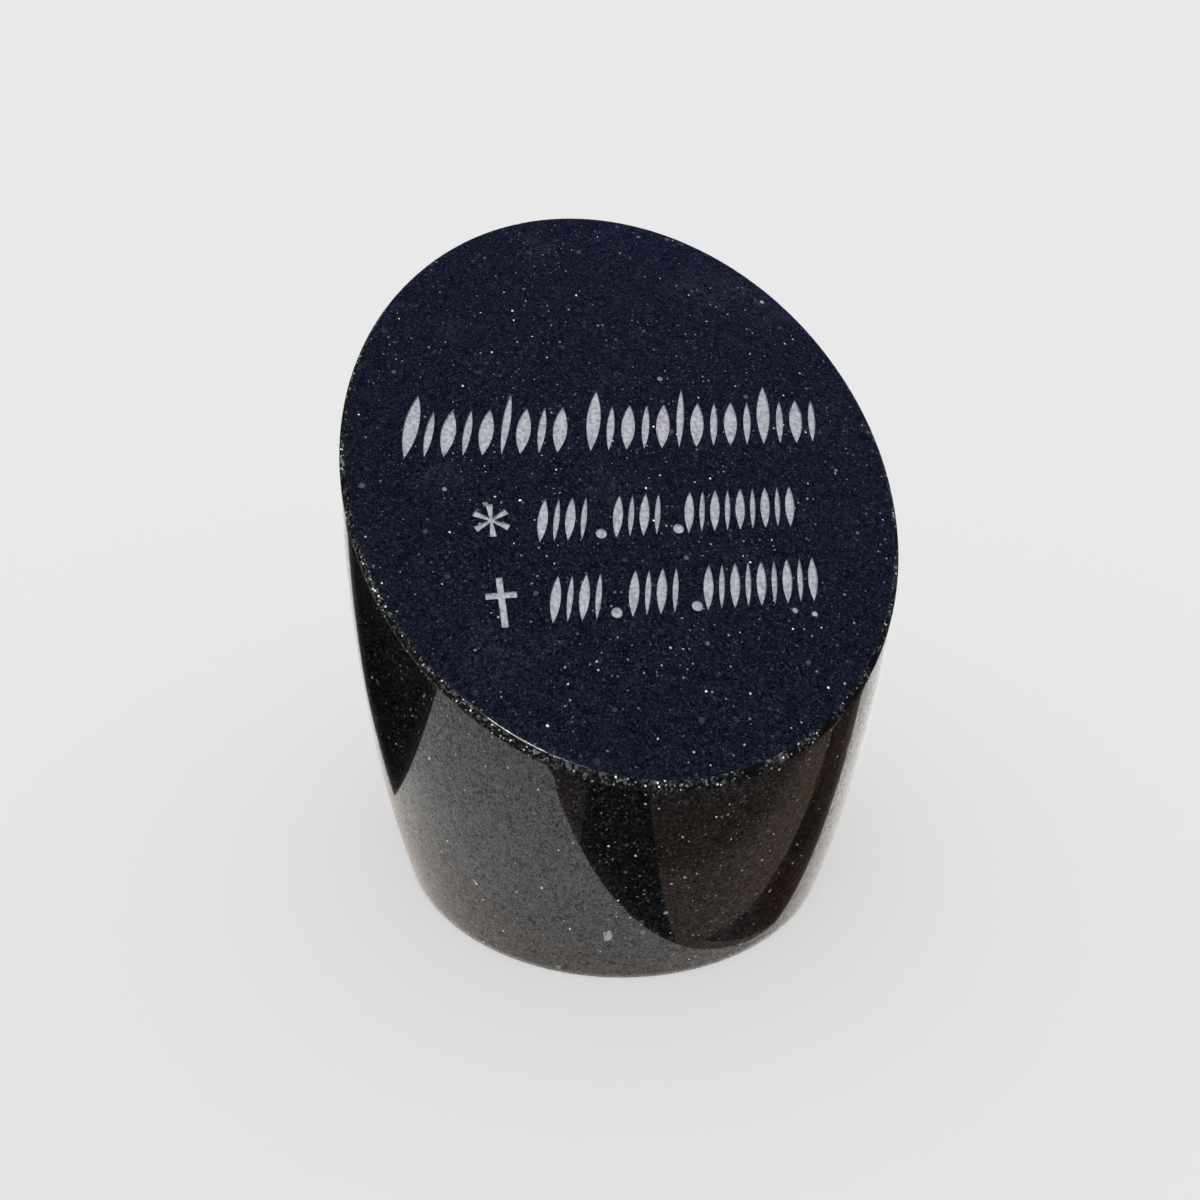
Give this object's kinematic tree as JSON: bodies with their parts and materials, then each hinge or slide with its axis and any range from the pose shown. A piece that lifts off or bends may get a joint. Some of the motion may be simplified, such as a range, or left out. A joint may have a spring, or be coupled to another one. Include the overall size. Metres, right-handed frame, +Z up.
{
  "type": "headstone",
  "caption": "Small round column headstone of polished dark granite, bowed at the side and cut off at a slant, with an inscribed sloping face. It stands on its flat foot.",
  "frame": {"origin": "centre of the flat foot, on the surface that the stone stands on", "axes": "+Z up along the column's axis; the face rises towards +Y and is read from the -Y side, with its rows running along +X"},
  "size_m": [0.2478, 0.2463, 0.2983],
  "materials": {
    "granite": "black granite with a blue cast and fine light crystals, polished at the side and satin on the face"
  },
  "bodies": {
    "root": {"headstone": "granite"}
  },
  "joints": []
}
